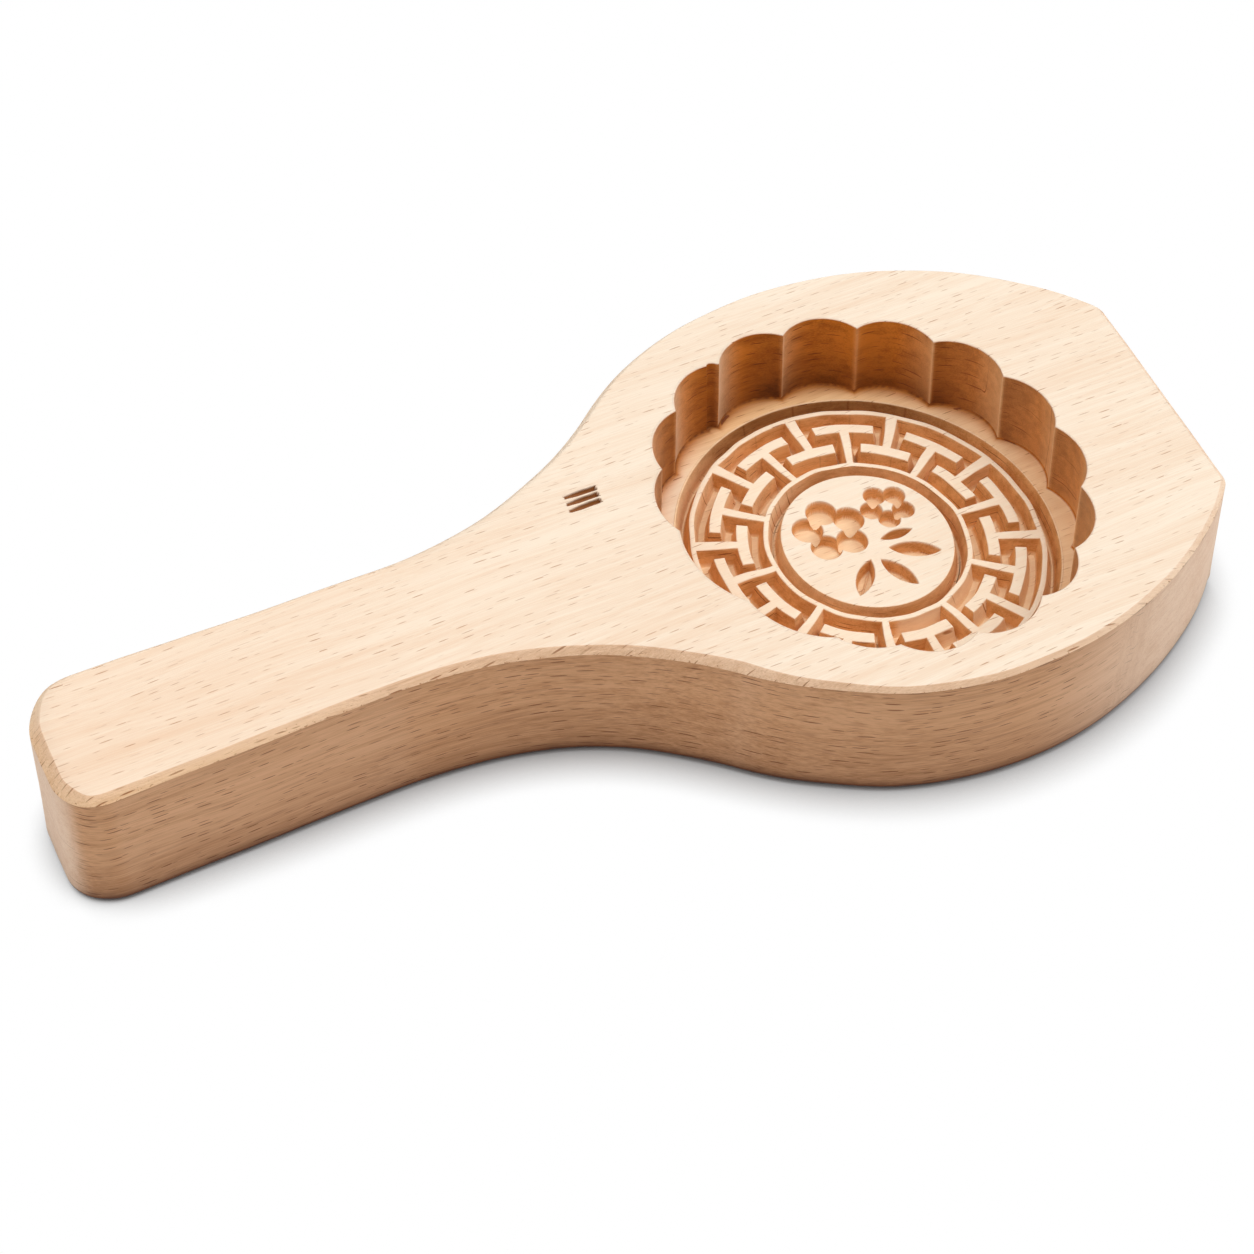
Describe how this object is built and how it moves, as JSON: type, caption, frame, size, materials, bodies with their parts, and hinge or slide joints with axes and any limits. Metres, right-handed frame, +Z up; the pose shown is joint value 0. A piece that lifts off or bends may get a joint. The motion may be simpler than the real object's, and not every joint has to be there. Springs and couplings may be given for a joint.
{
  "type": "wooden mooncake mold",
  "caption": "Paddle-shaped beech mooncake mold with a scalloped round well, a T-fret ring and a carved blossom medallion on its floor.",
  "frame": {"origin": "on the face the board rests on, under the centre of the scalloped well", "axes": "+X along the head toward its flat end, with the handle on the -X side; +Z up out of the well's mouth; +Y across the head"},
  "size_m": [0.2286, 0.11, 0.03],
  "materials": {
    "board_beech": "matt",
    "carved_beech": "matt"
  },
  "bodies": {
    "root": {"mold_board": "board_beech", "fret_ring": "carved_beech", "medallion": "carved_beech"}
  },
  "joints": []
}
